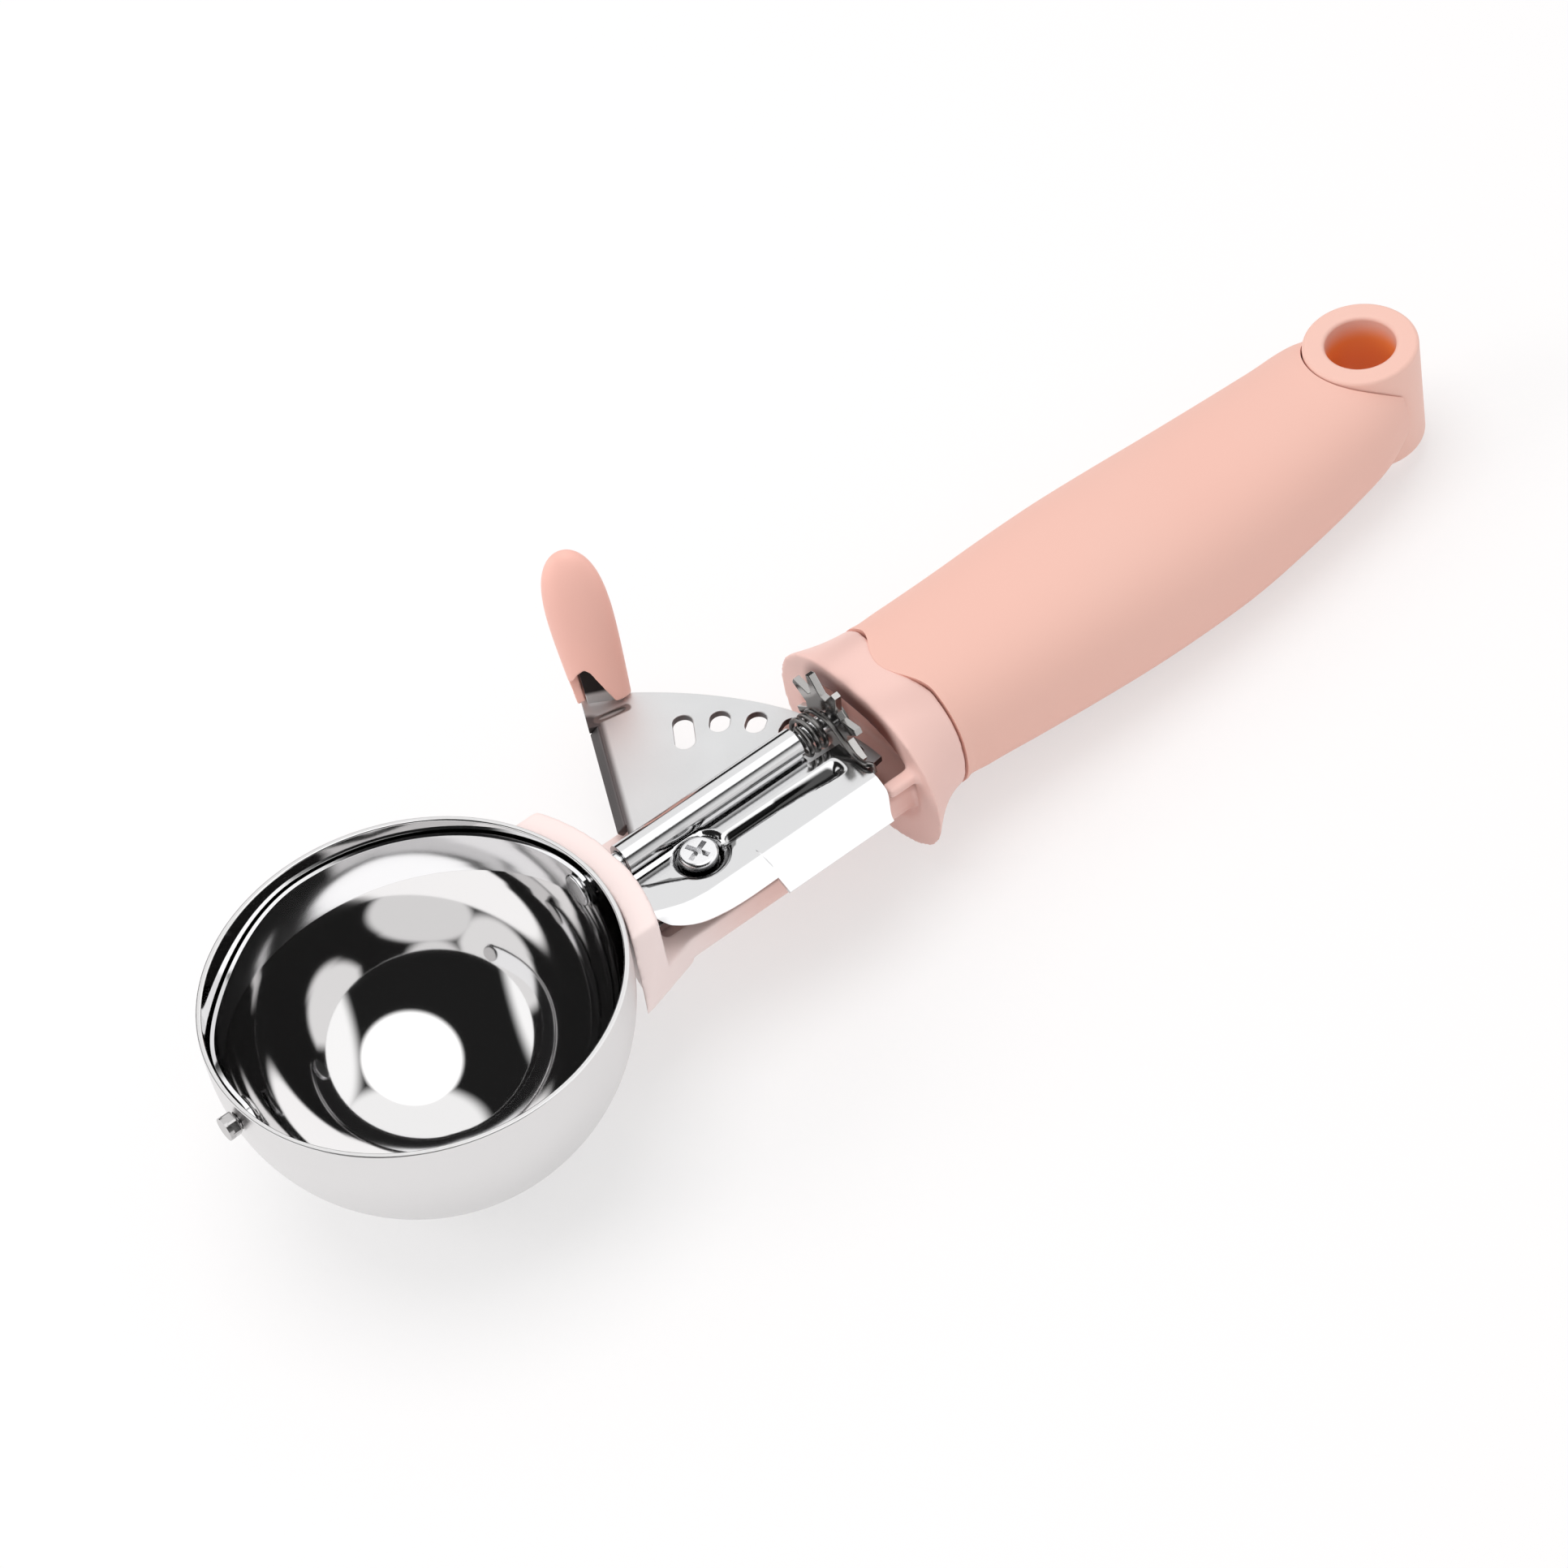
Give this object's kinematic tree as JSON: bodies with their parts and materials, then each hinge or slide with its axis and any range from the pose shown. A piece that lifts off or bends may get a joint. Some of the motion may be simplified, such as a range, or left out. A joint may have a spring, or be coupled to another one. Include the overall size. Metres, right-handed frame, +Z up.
{
  "type": "ice cream scoop",
  "caption": "Hand-held ice cream scoop: round steel bowl on a moulded handle, with a thumb lever that drives a toothed wheel and a scraper blade to release the ball.",
  "frame": {"origin": "centre of the bowl's foot, on the surface that the scoop lies on", "axes": "+X from the bowl to the handle, +Y to the thumb lever's side, +Z up"},
  "size_m": [0.2146, 0.0723, 0.0421],
  "materials": {
    "satin_steel": "satin stainless steel sheet",
    "bright_steel": "bright polished stainless steel",
    "spring_steel": "dark drawn spring wire",
    "turned_brass": "turned brass",
    "nylon_washer": "natural nylon",
    "pad_plastic": "satin moulded plastic",
    "core_plastic": "satin moulded plastic",
    "grip_rubber": "soft-touch overmould"
  },
  "bodies": {
    "handle_and_bowl": {"bowl": "satin_steel", "bowl_tang": "satin_steel", "tang_rivet_lever_side": "satin_steel", "tang_rivet_flank_side": "satin_steel", "return_spring": "spring_steel", "steel_frame": "bright_steel", "pivot_screw": "bright_steel", "pivot_bush": "turned_brass", "pivot_washer": "nylon_washer", "threaded_insert": "turned_brass", "handle_core": "core_plastic", "grip_sleeve": "grip_rubber"},
    "thumb_lever": {"lever_plate": "bright_steel", "thumb_pad": "pad_plastic"},
    "scraper": {"scraper_blade": "bright_steel", "front_pivot_pin": "bright_steel", "scraper_shaft": "bright_steel", "star_wheel": "bright_steel", "wheel_clip": "spring_steel"}
  },
  "joints": [
    {"name": "lever_pivot", "type": "hinge", "parent": "handle_and_bowl", "child": "thumb_lever", "pos_m": [0.04378, -0.0056, 0.02036], "axis": [-0.0643, 0, -0.9979], "range_deg": [0, 33], "stiffness_Nm_per_rad": 0.25, "springref_deg": -20.05, "deforming": ["return_spring"]},
    {"name": "scraper_turn", "type": "hinge", "parent": "handle_and_bowl", "child": "scraper", "pos_m": [0.0499, 0, 0.02663], "axis": [-0.9979, 0, 0.0643], "range_deg": [0, 142], "deforming": ["return_spring"]}
  ],
  "couplings": [
    {"joint": "scraper_turn", "follows": "lever_pivot", "ratio": 4.2857}
  ]
}
